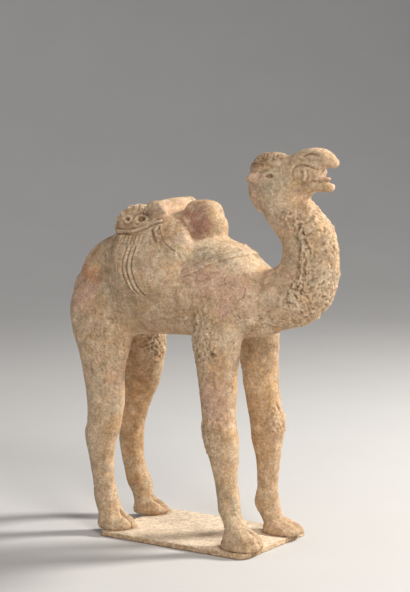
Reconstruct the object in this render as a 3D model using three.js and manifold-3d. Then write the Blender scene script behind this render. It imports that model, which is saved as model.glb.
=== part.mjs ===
// Terracotta camel on a thin slab: a laden two-humped camel that stands on four straight legs,
// with its head raised and its mouth open. Millimetres, +X forward, +Y to the camel's left,
// +Z up, with the origin at the middle of the slab's underside.

import * as THREE from 'three';
import { mergeVertices } from 'three/addons/utils/BufferGeometryUtils.js';
import Module from 'manifold-3d';

const wasm = await Module();
wasm.setup();

// Slab
const SLAB_LENGTH = 334;
const SLAB_WIDTH = 230;
const SLAB_THICKNESS = 12;
const SLAB_EDGE_ROUND = 1.6;
const SLAB_FLARE = 0.008;
const SLAB_WORN_CORNER = 16;
const SLAB_CORNER_CUT = 5;
const FOOT_GAP = 0.3;

// A limb's stations run along it. Each is [x, y, z, depth, width]: the centre of the section,
// its half size in the upright plane along the limb, and its half size along Y. startCap and
// endCap are the lengths of the domes that close its ends, and egg is how much narrower than
// the middle the section is at its top.
const TORSO = {
  stations: [
    [-262, 0, 464, 55, 62],
    [-232, 0, 472, 80, 82],
    [-190, 0, 486, 99, 94],
    [-130, 0, 496, 105, 99],
    [-70, 0, 500, 106, 101],
    [-10, 0, 497, 102, 101],
    [50, 0, 487, 93, 98],
    [95, 0, 474, 78, 89],
    [135, 0, 462, 62, 71],
    [165, 0, 458, 50, 54],
  ],
  startCap: 28,
  endCap: 24,
  egg: 0.1,
};

const NECK = {
  stations: [
    [140, 0, 470, 58, 60],
    [178, 0, 477, 59, 52],
    [205, 0, 488, 60, 47],
    [224, 0, 506, 60, 44],
    [235, 0, 530, 57, 42],
    [238, 0, 558, 54, 40],
    [234, 0, 586, 52, 39],
    [219, 0, 610, 47, 38],
    [200, 0, 632, 45, 38],
    [184, 0, 654, 46, 38],
    [176, 0, 674, 40, 36],
  ],
  startCap: 30,
  endCap: 20,
  egg: 0,
};

const SKULL = {
  stations: [
    [128, 0, 686, 38, 29],
    [150, 0, 690, 48, 36],
    [180, 0, 696, 47, 36],
    [205, 0, 702, 42, 32],
    [228, 0, 709, 39, 28],
    [246, 0, 714, 34, 25],
    [256, 0, 713, 30, 22],
  ],
  startCap: 15,
  endCap: 9,
  egg: 0.05,
};

const UPPER_LIP = {
  stations: [
    [212, 0, 727, 20, 24],
    [236, 0, 735, 21, 26],
    [256, 0, 738, 19, 25],
    [272, 0, 735, 15.5, 21],
    [284, 0, 729.5, 10, 15],
  ],
  startCap: 6,
  endCap: 11,
  egg: 0,
};

const LOWER_LIP = {
  stations: [
    [232, 0, 694, 15, 20],
    [254, 0, 687, 11, 18],
    [272, 0, 685, 8.5, 15],
    [280, 0, 684.5, 7, 11],
  ],
  startCap: 8,
  endCap: 6,
  egg: 0,
};

const TONGUE = {
  stations: [
    [240, 0, 701, 6, 12],
    [262, 0, 699, 4.5, 10],
    [274, 0, 700, 3.5, 7],
  ],
  startCap: 6,
  endCap: 5,
  egg: 0,
};

const NAPE = {
  stations: [
    [130, 0, 694, 22, 22],
    [128, 0, 676, 19, 21],
    [136, 0, 656, 18, 19],
    [146, 0, 645, 14, 16],
  ],
  startCap: 10,
  endCap: 8,
  egg: 0,
};

const CROWN_TUFT = {
  stations: [
    [124, 0, 716, 17, 20],
    [140, 0, 727, 20, 25],
    [160, 0, 731, 19, 26],
    [178, 0, 730, 17, 22],
    [190, 0, 730, 11, 15],
  ],
  startCap: 10,
  endCap: 8,
  egg: 0.1,
};

const TAIL = {
  stations: [
    [-272, 0, 520, 9, 10],
    [-288, 0, 500, 8, 9],
    [-294, 2, 470, 7.5, 9],
    [-293, 4, 440, 8, 10],
    [-289, 4, 415, 7, 9],
  ],
  startCap: 10,
  endCap: 14,
  egg: 0,
};

const LEGS = {
  nearHind: {
    stations: [
      [-200, -34, 520, 34, 30],
      [-206, -46, 482, 60, 46],
      [-205, -54, 442, 68, 49],
      [-197, -61, 400, 65, 47],
      [-190, -67, 360, 53, 42],
      [-188, -71, 320, 43, 36],
      [-181, -74, 262, 38, 33],
      [-184, -75, 222, 35, 30],
      [-190, -75, 200, 35.5, 29],
      [-193, -75, 180, 31.5, 27],
      [-191, -75, 142, 24, 23],
      [-186, -75, 101, 21.5, 20],
      [-180, -75, 71, 24.5, 21],
      [-175, -75, 53, 24.5, 22],
      [-167, -75, 38, 26, 25],
      [-158, -75, 29, 35, 31],
      [-156, -75, 20, 38, 33],
      [-156, -75, 14, 37, 32],
    ],
    coat: [],
  },
  farHind: {
    stations: [
      [-200, 34, 520, 34, 30],
      [-206, 46, 482, 60, 46],
      [-205, 54, 438, 66, 49],
      [-197, 61, 400, 54, 46],
      [-194, 66, 365, 46, 42],
      [-195, 71, 318, 43, 36],
      [-202, 73, 281, 39, 33],
      [-216, 74, 238, 32, 29],
      [-227, 75, 196, 26, 26],
      [-229, 75, 153, 25, 25],
      [-222, 73, 112, 23, 21],
      [-206, 70, 73, 27, 23],
      [-200, 67, 62, 25, 22],
      [-193, 65, 49, 20.5, 21],
      [-187, 64, 39, 21, 23],
      [-176, 63, 30, 31, 28],
      [-171, 63, 21, 37, 32],
      [-171, 63, 14, 36, 31],
    ],
    coat: [{ run: [0.1, 0.3], facing: 80, height: 5 }],
  },
  nearFore: {
    stations: [
      [58, -42, 498, 30, 34],
      [64, -52, 462, 47, 44],
      [70, -58, 425, 50, 43],
      [75, -64, 392, 47, 40],
      [77, -66, 355, 41, 37],
      [79, -67, 318, 37, 34],
      [80, -67, 285, 34.5, 32],
      [82, -67, 247, 32, 30],
      [86, -67, 209, 34, 31],
      [94, -68, 172, 27, 26],
      [99, -70, 134, 22, 21],
      [107, -72, 97, 21.5, 20],
      [110, -73, 77, 21.5, 20],
      [118, -75, 62, 20, 20],
      [128, -76, 47, 23, 24],
      [136, -76, 36, 34, 30],
      [139, -76, 24, 40, 34],
      [139, -76, 14, 39, 34],
    ],
    coat: [
      { run: [0.06, 0.28], facing: -20, height: 4 },
      { run: [0.37, 0.52], facing: 10, height: 4 },
    ],
  },
  farFore: {
    stations: [
      [58, 42, 498, 30, 34],
      [66, 52, 462, 47, 44],
      [78, 57, 425, 50, 43],
      [86, 63, 380, 42, 39],
      [89, 65, 340, 36, 35],
      [92, 66, 305, 35, 32],
      [98, 66, 267, 33.5, 31],
      [106, 66, 229, 33.5, 31],
      [106, 67, 191, 30, 28],
      [108, 67, 151, 23, 22],
      [107, 68, 102, 20.5, 20],
      [105, 69, 68, 25, 22],
      [111, 70, 50, 23, 22],
      [121, 70, 37, 23, 24],
      [136, 70, 29, 35, 30],
      [141, 70, 20, 40, 34],
      [141, 70, 14, 39, 34],
    ],
    coat: [{ run: [0.36, 0.54], facing: 70, height: 4 }],
  },
};
const LEG_START_CAP = 12;
const LEG_END_CAP = 8;
const LEG_SIDES = 12;
const TOE_SPLIT = { depth: 5, from: 0.93 };

// Locks: how often they repeat along a limb and round it
const LEG_LOCKS = { along: 67, across: 31, round: 5, spread: 4 };
const MANE = {
  run: [0.18, 0.84],
  fade: 0.1,
  lift: 1.5,
  height: 2.2,
  rows: 46,
  round: 9,
  wave: 21,
};

// Head: the ear's stations and the points of the brow are given for the left side
const EAR = {
  stations: [
    [146, 28, 702, 8, 6],
    [134, 35, 701, 9, 6],
    [123, 38, 699, 4, 4],
  ],
  startCap: 4,
  endCap: 4,
};
const BROW = { points: [[156, 33, 716], [168, 36, 719], [182, 33, 723], [198, 26, 727]], radius: 4.5 };
const EYE = { centre: [169, 34, 706], size: [8, 3.5, 4.5] };

// Load: humps, saddle cloth, roll and the two bags
const FRONT_HUMP = { centre: [5, -4, 611], size: [40, 30, 47], power: 3 };
const FRONT_HUMP_STEP = { centre: [31, 0, 604], size: [21, 24, 28], power: 2.4 };
const REAR_HUMP = { centre: [-147, 0, 590], size: [48, 40, 56], power: 2.2 };
const SADDLE_SEAT = { centre: [-64, 0, 592], size: [64, 60, 46], power: 2.8 };
const CLOTH_THICKNESS = 3.5;
const CLOTH_OUTLINE = [
  [138, 720],
  [134, 566],
  [106, 556],
  [60, 537],
  [10, 512],
  [-70, 492],
  [-140, 500],
  [-182, 560],
  [-182, 720],
];
const ROLL = {
  stations: [
    [-72, -60, 643, 14, 14],
    [-74, -44, 643, 12, 12],
    [-74, -15, 645, 13.5, 13.5],
    [-71, 15, 647, 14, 14],
    [-65, 50, 648, 14, 14],
  ],
  startCap: 12,
  endCap: 10,
};
const ROLL_KNOT = { centre: [-65, -64, 640], size: [22, 15, 17], power: 2 };
const BAG = {
  origin: [-64, -74, 560],
  lean: 24,
  middle: [-5, -7],
  halfLength: 88,
  halfHeight: 84,
  corner: 2.4,
  outward: 36,
  inward: 30,
  sag: 0.25,
  flatness: 3.2,
};
const FAR_BAG_DROP = 8;

// Places on the bag are [along X, up the bag] from the bag's origin. The mask's forehead is a
// mound that rises above the bag's top.
const MASK_HEAD = {
  middle: [-53, 53],
  halfLength: 46,
  halfHeight: 41,
  corner: 2,
  outward: 28,
  inward: 28,
  sag: 0,
  flatness: 2.4,
};
const MASK_EYES = [
  { at: [-68, 58], radius: 10, tube: 3.2 },
  { at: [-29, 56], radius: 10, tube: 3.4 },
];
const MASK_LIP = [[-92, 37], [-76, 27], [-58, 21], [-37, 18], [-14, 25], [11, 45]];
const MASK_BROW = [[-87, 58], [-79, 72], [-67, 81], [-53, 84], [-38, 81], [-24, 71]];
const TEETH = { count: 7, from: [-65, 16], to: [-11, 15], radius: 3.6, height: 15 };
const SKEIN = {
  count: 4,
  spacing: 12,
  radius: 5,
  path: [[-28, -4], [-28, -28], [-22, -52], [-15, -70], [-2, -88]],
};

// Rows of triangles in the dome at each end of a limb
const CAP_ROWS = 2;

const CLAY = { color: 0xc9ac88, roughness: 0.92, metalness: 0 };
const SLAB_CLAY = { color: 0xcbb795, roughness: 0.94, metalness: 0 };

// Closed meshes and solids

function solid(geometry) {
  const bare = geometry.clone();
  bare.deleteAttribute('normal');
  bare.deleteAttribute('uv');
  const merged = mergeVertices(bare, 1e-4);
  const vertProperties = new Float32Array(merged.attributes.position.array);
  const triVerts = facingOut(vertProperties, new Uint32Array(merged.index.array));
  return new wasm.Manifold(new wasm.Mesh({ numProp: 3, vertProperties, triVerts }));
}

// Turns every triangle over when the body they enclose has a negative volume, and drops
// triangles that have shrunk to a line
function facingOut(points, corners) {
  const at = (i) => new THREE.Vector3().fromArray(points, 3 * i);
  const kept = [];
  let volume = 0;
  for (let i = 0; i < corners.length; i += 3) {
    const [a, b, c] = corners.slice(i, i + 3);
    if (a !== b && b !== c && c !== a) {
      volume += at(a).dot(at(b).cross(at(c)));
      kept.push([a, b, c]);
    }
  }
  const ordered = volume > 0 ? kept : kept.map(([a, b, c]) => [a, c, b]);
  return new Uint32Array(ordered.flat());
}

function toGeometry(manifold) {
  const mesh = manifold.getMesh();
  const geometry = new THREE.BufferGeometry();
  geometry.setAttribute('position', new THREE.BufferAttribute(mesh.vertProperties, 3));
  geometry.setIndex(new THREE.BufferAttribute(mesh.triVerts, 1));
  geometry.computeVertexNormals();
  return geometry;
}

function joined(solids) {
  return solids.reduce((whole, piece) => whole.add(piece));
}

// Ellipse that can be squared off: power 2 is round, more is boxier
function roundedUnit(angle, power) {
  const soften = (value) => Math.sign(value) * Math.abs(value) ** (2 / power);
  return [soften(Math.cos(angle)), soften(Math.sin(angle))];
}

// Centre, section sizes and directions of a limb, from 0 to 1 along its stations. Sections
// are square to the limb, level where it is upright, and across X where it runs crossways.
function limbSection(limb, along) {
  const centres = new THREE.CatmullRomCurve3(
    limb.stations.map(([x, y, z]) => new THREE.Vector3(x, y, z)), false, 'catmullrom');
  const sizes = new THREE.CatmullRomCurve3(
    limb.stations.map(([, , , depth, width]) => new THREE.Vector3(depth, width, 0)),
    false, 'catmullrom');
  const step = 1e-3;
  const ahead = centres.getPoint(Math.min(along + step, 1));
  const behind = centres.getPoint(Math.max(along - step, 0));
  const heading = ahead.sub(behind);
  const level = limb.crossways ? [0, 1, 0] : [heading.x, 0, heading.z];
  const forward = new THREE.Vector3(...(limb.upright ? [0, 0, -1] : level)).normalize();
  const side = limb.crossways ? new THREE.Vector3(1, 0, 0) : new THREE.Vector3(0, 1, 0);
  const up = new THREE.Vector3().crossVectors(forward, side);
  const size = sizes.getPoint(along);
  return { centre: centres.getPoint(along), forward, side, up, depth: size.x, width: size.y };
}

// Skin of a limb: the rows of a sphere become the sections, with a dome at each end
function limbGeometry(limb, sides, rows) {
  const total = rows + 2 * CAP_ROWS;
  const sections = [];
  for (let row = 0; row <= total; row += 1) {
    const along = THREE.MathUtils.clamp((row - CAP_ROWS) / rows, 0, 1);
    const section = limbSection(limb, along);
    const startTurn = Math.min(row / CAP_ROWS, 1) * Math.PI / 2;
    const endTurn = Math.min((total - row) / CAP_ROWS, 1) * Math.PI / 2;
    const shift = limb.endCap * Math.cos(endTurn) - limb.startCap * Math.cos(startTurn);
    section.centre.addScaledVector(section.forward, shift);
    section.scale = Math.sin(startTurn) * Math.sin(endTurn);
    section.along = along;
    sections.push(section);
  }
  return moulded(sides, total, (row, angle) => limbPoint(limb, sections[row], angle));
}

function limbPoint(limb, section, angle) {
  const [across, upward] = roundedUnit(angle, limb.power ?? 2.15);
  const lift = limb.relief ? limb.relief(section.along, angle) * section.scale : 0;
  const width = (section.width * (1 - (limb.egg ?? 0) * upward) + lift) * section.scale;
  const depth = (section.depth + lift) * section.scale;
  return section.centre.clone()
    .addScaledVector(section.side, across * width)
    .addScaledVector(section.up, upward * depth);
}

// A sphere's grid of rows and sides with each point moved to where place(row, angle) says
function moulded(sides, rows, place) {
  const geometry = new THREE.SphereGeometry(1, sides, rows);
  const { position, uv } = geometry.attributes;
  for (let i = 0; i < position.count; i += 1) {
    const row = Math.round((1 - uv.getY(i)) * rows);
    const angle = Math.round(uv.getX(i) * sides) / sides * Math.PI * 2;
    const point = place(row, row === 0 || row === rows ? 0 : angle % (Math.PI * 2));
    position.setXYZ(i, point.x, point.y, point.z);
  }
  return geometry;
}

function limbSolid(limb, sides, rows) {
  return solid(limbGeometry(limb, sides, rows));
}

// Ellipsoid with an upright axis, boxier where power is above 2
function boulder({ centre: [x, y, z], size: [length, width, height], power = 2 }, sides) {
  const rows = Math.ceil(sides * 0.6);
  return solid(moulded(sides, rows, (row, angle) => {
    const [up, out] = roundedUnit(row / rows * Math.PI, power);
    const [across, along] = roundedUnit(angle, power);
    return new THREE.Vector3(x + along * out * length, y + across * out * width, z + up * height);
  }));
}

// Round bar along a smooth curve through the points
function bar(points, radius, steps, sides = 5) {
  const section = new THREE.Shape();
  for (let i = 0; i < sides; i += 1) {
    const angle = i / sides * Math.PI * 2;
    const draw = i === 0 ? 'moveTo' : 'lineTo';
    section[draw](radius * Math.cos(angle), radius * Math.sin(angle));
  }
  section.closePath();
  const extrudePath = new THREE.CatmullRomCurve3(points);
  return solid(new THREE.ExtrudeGeometry(section, { steps, extrudePath, bevelEnabled: false }));
}

// Coat

// Shaggy patches on a leg. A patch faces a number of degrees from straight out towards the front.
function coatRelief(coat, side, along, angle) {
  const outward = side > 0 ? angle : Math.PI - angle;
  const { along: alongRate, across, round, spread } = LEG_LOCKS;
  const locks = 0.5 + 0.5 * Math.sin(along * alongRate + round * outward)
    * Math.cos(spread * outward - along * across);
  return coat.reduce((sum, { run, facing, height }) => {
    const turn = outward - THREE.MathUtils.degToRad(facing);
    const face = THREE.MathUtils.smoothstep(Math.cos(turn), 0, 0.6);
    return sum + height * bump(along, run) * face * locks;
  }, 0);
}

// Groove between the two toes, at the front of the foot
function toeSplit(along, angle) {
  return TOE_SPLIT.depth * THREE.MathUtils.smoothstep(Math.sin(angle), 0.9, 1)
    * THREE.MathUtils.smoothstep(along, TOE_SPLIT.from - 0.05, TOE_SPLIT.from);
}

function bump(along, [from, to]) {
  const edge = (to - from) / 4;
  return THREE.MathUtils.smoothstep(along, from, from + edge)
    * (1 - THREE.MathUtils.smoothstep(along, to - edge, to));
}

// Long curly mane down the front of the neck
function maneRelief(along, angle) {
  const [from, to] = MANE.run;
  const front = THREE.MathUtils.smoothstep(-Math.sin(angle), 0.05, 0.45);
  const run = THREE.MathUtils.smoothstep(along, from, from + MANE.fade)
    * (1 - THREE.MathUtils.smoothstep(along, to - MANE.fade / 2, to));
  const tufts = Math.sin(along * MANE.rows + 2 * Math.sin(3 * angle));
  const locks = Math.sin(MANE.round * angle + 3 * Math.sin(along * MANE.wave));
  return front * run * (MANE.lift + MANE.height * tufts * locks);
}

// Torso, neck and head

// The torso's solid, or one that is larger by some thickness all round
function torso(extra = 0) {
  const stations = TORSO.stations.map(([x, y, z, depth, width]) =>
    [x, y, z, depth + extra, width + extra]);
  return limbSolid({ ...TORSO, stations }, 22, 14);
}

function neckAndHead() {
  return joined([
    limbSolid({ ...NECK, relief: maneRelief }, 20, 20),
    limbSolid(SKULL, 12, 7),
    limbSolid(UPPER_LIP, 12, 5),
    limbSolid(LOWER_LIP, 8, 3),
    limbSolid(TONGUE, 6, 2),
    limbSolid(NAPE, 8, 3),
    limbSolid(CROWN_TUFT, 10, 4),
    ...headDetails(-1),
    ...headDetails(1),
  ]);
}

function headDetails(side) {
  const onSide = ([x, y, ...rest]) => [x, side * y, ...rest];
  const ear = { ...EAR, stations: EAR.stations.map(onSide) };
  const browPoints = BROW.points.map((point) => new THREE.Vector3(...onSide(point)));
  return [
    limbSolid(ear, 6, 2),
    bar(browPoints, BROW.radius, 4),
    boulder({ ...EYE, centre: onSide(EYE.centre) }, 8),
  ];
}

// Legs

// A leg's sections are level, and its last ones spread into the foot pad
function leg({ stations, coat }) {
  const side = Math.sign(stations[0][1]);
  const relief = (along, angle) =>
    coatRelief(coat, side, along, angle) - toeSplit(along, angle);
  const limb = { stations, relief, startCap: LEG_START_CAP, endCap: LEG_END_CAP, upright: true };
  return limbSolid(limb, LEG_SIDES, stations.length - 1);
}

// Load

// Prism along Y of an outline in X and Z
function outlinePrism(points, halfWidth) {
  const outline = new THREE.Shape(points.map(([x, z]) => new THREE.Vector2(x, z)));
  const geometry = new THREE.ExtrudeGeometry(outline, { depth: 2 * halfWidth, bevelEnabled: false });
  geometry.rotateX(Math.PI / 2);
  geometry.translate(0, halfWidth, 0);
  return solid(geometry);
}

// Sheet of cloth over the back: the part of a slightly larger torso inside the cloth's outline
function saddleCloth() {
  const corners = CLOTH_OUTLINE.slice(1, -1).map(([x, z]) => new THREE.Vector2(x, z));
  const curve = new THREE.SplineCurve(corners);
  const hem = curve.getPoints(16).map(({ x, y }) => [x, y]);
  const outline = [CLOTH_OUTLINE[0], ...hem, CLOTH_OUTLINE[CLOTH_OUTLINE.length - 1]];
  return torso(CLOTH_THICKNESS).intersect(outlinePrism(outline, TORSO.stations[4][4] * 2));
}

// Point on the outer face of the bag or of the mask's forehead, lifted off the face
function onBag(side, along, up, lift = 0) {
  const out = Math.max(...[BAG, MASK_HEAD].map((mound) => {
    const { middle, halfLength, halfHeight, corner } = mound;
    const radius = (Math.abs((along - middle[0]) / halfLength) ** corner
      + Math.abs((up - middle[1]) / halfHeight) ** corner) ** (1 / corner);
    return swell(mound, Math.min(radius, 1), up - middle[1]);
  }));
  return bagPoint(side, along, up, out + lift);
}

// How far a mound stands out: flat over its middle, falling to nothing at its outline
function swell({ flatness, outward, sag, halfHeight }, radius, up) {
  const fullness = (1 - radius ** flatness) ** 0.6;
  return outward * fullness * (1 - sag * up / halfHeight);
}

function bagPoint(side, along, up, out) {
  const lean = THREE.MathUtils.degToRad(BAG.lean);
  const [x, y, z] = BAG.origin;
  return new THREE.Vector3(
    x + along,
    -side * (y + up * Math.sin(lean) - out * Math.cos(lean)),
    z + up * Math.cos(lean) + out * Math.sin(lean) - (side > 0 ? FAR_BAG_DROP : 0));
}

// Solid of the bag, or of the mask's forehead
function bag(side, shape = BAG, sides = 20) {
  const rows = sides / 2;
  const { middle, halfLength, halfHeight, corner, inward } = shape;
  const geometry = moulded(sides, rows, (row, angle) => {
    const turn = row / rows * Math.PI;
    const radius = Math.sin(turn);
    const [cosine, sine] = roundedUnit(angle, corner);
    const up = halfHeight * sine * radius;
    const out = Math.cos(turn) > 0 ? swell(shape, radius, up) : inward * Math.cos(turn);
    return bagPoint(side, middle[0] + halfLength * cosine * radius, middle[1] + up, out);
  });
  return solid(geometry);
}

// Open ring round an eye
function ring(side, { at: [along, up], radius, tube }) {
  const steps = 8;
  const sweep = Math.PI * 1.75;
  const points = [];
  for (let i = 0; i <= steps; i += 1) {
    const angle = i / steps * sweep;
    points.push(onBag(side, along + radius * Math.cos(angle), up + radius * Math.sin(angle), 0.5));
  }
  return bar(points, tube, steps, 4);
}

function bagBar(side, path, radius, steps, shift = 0) {
  return bar(path.map(([along, up]) => onBag(side, along + shift, up, 0.3)), radius, steps);
}

function teeth(side) {
  const pieces = [];
  for (let i = 0; i < TEETH.count; i += 1) {
    const share = i / (TEETH.count - 1);
    const along = THREE.MathUtils.lerp(TEETH.from[0], TEETH.to[0], share);
    const up = THREE.MathUtils.lerp(TEETH.from[1], TEETH.to[1], share);
    pieces.push(bar([
      onBag(side, along, up),
      onBag(side, along, up - TEETH.height / 2),
      onBag(side, along, up - TEETH.height),
    ], TEETH.radius, 1));
  }
  return pieces;
}

function skein(side) {
  const strands = [];
  for (let i = 0; i < SKEIN.count; i += 1) {
    const shift = (i - (SKEIN.count - 1) / 2) * SKEIN.spacing;
    strands.push(bagBar(side, SKEIN.path, SKEIN.radius, 6, shift));
  }
  return strands;
}

function mask(side) {
  const pupils = MASK_EYES.map(({ at: [along, up], radius }) => {
    const { x, y, z } = onBag(side, along, up);
    const half = radius * 0.45;
    return boulder({ centre: [x, y, z], size: [half, half, half] }, 6);
  });
  return [
    bag(side, MASK_HEAD, 12),
    ...MASK_EYES.map((eye) => ring(side, eye)),
    ...pupils,
    bagBar(side, MASK_LIP, 3.6, 7),
    bagBar(side, MASK_BROW, 7.5, 6),
    ...teeth(side),
  ];
}

function load() {
  return joined([
    boulder(FRONT_HUMP, 16),
    boulder(FRONT_HUMP_STEP, 10),
    boulder(REAR_HUMP, 12),
    boulder(SADDLE_SEAT, 12),
    saddleCloth(),
    limbSolid({ ...ROLL, crossways: true }, 12, 5),
    boulder(ROLL_KNOT, 12),
    bag(-1),
    bag(1),
    ...mask(-1),
    ...skein(-1),
    ...skein(1),
  ]);
}

// Whole pieces

function camelGeometry() {
  const whole = joined([
    torso(),
    neckAndHead(),
    limbSolid(TAIL, 8, 5),
    ...Object.values(LEGS).map(leg),
    load(),
  ]);
  const room = 1000;
  const aboveSlab = new THREE.BoxGeometry(room, room, room);
  aboveSlab.translate(0, 0, room / 2 + SLAB_THICKNESS + FOOT_GAP);
  return toGeometry(whole.intersect(solid(aboveSlab)));
}

function slabGeometry() {
  const x = SLAB_LENGTH / 2 - SLAB_EDGE_ROUND;
  const y = SLAB_WIDTH / 2 - SLAB_EDGE_ROUND;
  const outline = new THREE.Shape();
  outline.moveTo(-x, -y + SLAB_CORNER_CUT);
  outline.lineTo(-x + SLAB_CORNER_CUT, -y);
  outline.lineTo(x - SLAB_WORN_CORNER, -y);
  outline.quadraticCurveTo(x, -y, x, -y + SLAB_WORN_CORNER);
  outline.lineTo(x, y - SLAB_CORNER_CUT);
  outline.lineTo(x - SLAB_CORNER_CUT, y);
  outline.lineTo(-x + SLAB_CORNER_CUT, y);
  outline.lineTo(-x, y - SLAB_CORNER_CUT);
  outline.closePath();
  const geometry = new THREE.ExtrudeGeometry(outline, {
    depth: SLAB_THICKNESS - 2 * SLAB_EDGE_ROUND,
    bevelThickness: SLAB_EDGE_ROUND,
    bevelSize: SLAB_EDGE_ROUND,
    bevelSegments: 2,
    curveSegments: 5,
  });
  geometry.translate(0, 0, SLAB_EDGE_ROUND);
  return toGeometry(solid(flaredBelow(geometry)));
}

// Spreads the slab a little towards its underside
function flaredBelow(geometry) {
  const { position } = geometry.attributes;
  for (let i = 0; i < position.count; i += 1) {
    const spread = 1 + SLAB_FLARE * (1 - position.getZ(i) / SLAB_THICKNESS);
    position.setX(i, position.getX(i) * spread);
    position.setY(i, position.getY(i) * spread);
  }
  return geometry;
}

function named(name, geometry, finish) {
  const mesh = new THREE.Mesh(geometry, new THREE.MeshStandardMaterial(finish));
  mesh.name = name;
  return mesh;
}

const figure = new THREE.Group();
figure.add(named('camel', camelGeometry(), CLAY));
figure.add(named('plinth', slabGeometry(), SLAB_CLAY));

export default figure;
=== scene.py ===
# Laden pottery camel on a thin slab: fine surface, materials, light and camera.
# Sizes in the tables are millimetres in the CAD frame: +X forward, +Y to the camel's left, +Z up.

import math

import bpy
import numpy as np
from mathutils import Matrix, Vector, kdtree


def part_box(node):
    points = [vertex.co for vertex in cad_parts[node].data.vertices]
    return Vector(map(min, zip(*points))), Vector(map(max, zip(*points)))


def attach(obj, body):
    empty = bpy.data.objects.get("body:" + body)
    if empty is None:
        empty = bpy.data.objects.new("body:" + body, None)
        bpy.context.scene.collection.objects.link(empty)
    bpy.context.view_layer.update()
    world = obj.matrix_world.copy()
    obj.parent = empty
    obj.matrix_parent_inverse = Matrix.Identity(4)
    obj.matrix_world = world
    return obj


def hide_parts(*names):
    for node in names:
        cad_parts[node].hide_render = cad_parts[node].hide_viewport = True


MM = 0.001
VOXEL = 1.5
BLEND_VOXEL = 4.5
CAMEL_TRIANGLES = 195000
SLAB_TRIANGLES = 60000
SLAB_TOP = 12.0
FOOT_GAP = 0.3

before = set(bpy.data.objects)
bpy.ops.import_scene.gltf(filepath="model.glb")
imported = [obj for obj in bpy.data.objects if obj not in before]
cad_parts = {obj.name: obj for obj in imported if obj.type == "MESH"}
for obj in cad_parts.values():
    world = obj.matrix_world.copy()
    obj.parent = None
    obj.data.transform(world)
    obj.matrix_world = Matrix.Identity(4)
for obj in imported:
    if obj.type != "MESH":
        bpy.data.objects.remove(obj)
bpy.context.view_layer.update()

# Stations along a limb: x, y, z, half depth, half width

TORSO = dict(start_cap=28, end_cap=24, egg=0.1, stations=[
    (-262, 0, 464, 55, 62), (-232, 0, 472, 80, 82), (-190, 0, 486, 99, 94),
    (-130, 0, 496, 105, 99), (-70, 0, 500, 106, 101), (-10, 0, 497, 102, 101),
    (50, 0, 487, 93, 98), (95, 0, 474, 78, 89), (135, 0, 462, 62, 71), (165, 0, 458, 50, 54)])
NECK = dict(start_cap=30, end_cap=20, stations=[
    (140, 0, 470, 58, 60), (178, 0, 477, 59, 52), (205, 0, 488, 60, 47), (224, 0, 506, 60, 44),
    (235, 0, 530, 57, 42), (238, 0, 558, 54, 40), (234, 0, 586, 52, 39), (219, 0, 610, 47, 38),
    (200, 0, 632, 45, 38), (184, 0, 654, 46, 38), (176, 0, 674, 40, 36)])
SKULL = dict(start_cap=15, end_cap=9, egg=0.05, stations=[
    (128, 0, 686, 38, 29), (150, 0, 690, 48, 36), (180, 0, 696, 47, 36), (205, 0, 702, 42, 32),
    (228, 0, 709, 39, 28), (246, 0, 714, 34, 25), (256, 0, 713, 30, 22)])
UPPER_LIP = dict(start_cap=6, end_cap=11, stations=[
    (212, 0, 727, 20, 24), (236, 0, 735, 21, 26), (256, 0, 738, 19, 25),
    (272, 0, 735, 15.5, 21), (284, 0, 729.5, 10, 15)])
LOWER_LIP = dict(start_cap=8, end_cap=6, stations=[
    (232, 0, 694, 15, 20), (254, 0, 687, 11, 18), (272, 0, 685, 8.5, 15), (280, 0, 684.5, 7, 11)])
TONGUE = dict(start_cap=6, end_cap=5, stations=[
    (240, 0, 701, 6, 12), (262, 0, 699, 4.5, 10), (274, 0, 700, 3.5, 7)])
NAPE = dict(start_cap=10, end_cap=8, stations=[
    (130, 0, 694, 22, 22), (128, 0, 676, 19, 21), (136, 0, 656, 18, 19), (146, 0, 645, 14, 16)])
CROWN_TUFT = dict(start_cap=10, end_cap=8, egg=0.1, stations=[
    (124, 0, 716, 17, 20), (140, 0, 727, 20, 25), (160, 0, 731, 19, 26),
    (178, 0, 730, 17, 22), (190, 0, 730, 11, 15)])
TAIL = dict(start_cap=10, end_cap=14, stations=[
    (-272, 0, 520, 9, 10), (-288, 0, 500, 8, 9), (-294, 2, 470, 7.5, 9),
    (-293, 4, 440, 8, 10), (-289, 4, 415, 7, 9)])
EAR = dict(start_cap=4, end_cap=4, stations=[
    (146, 28, 702, 8, 6), (134, 35, 701, 9, 6), (123, 38, 699, 4, 4)])
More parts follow.
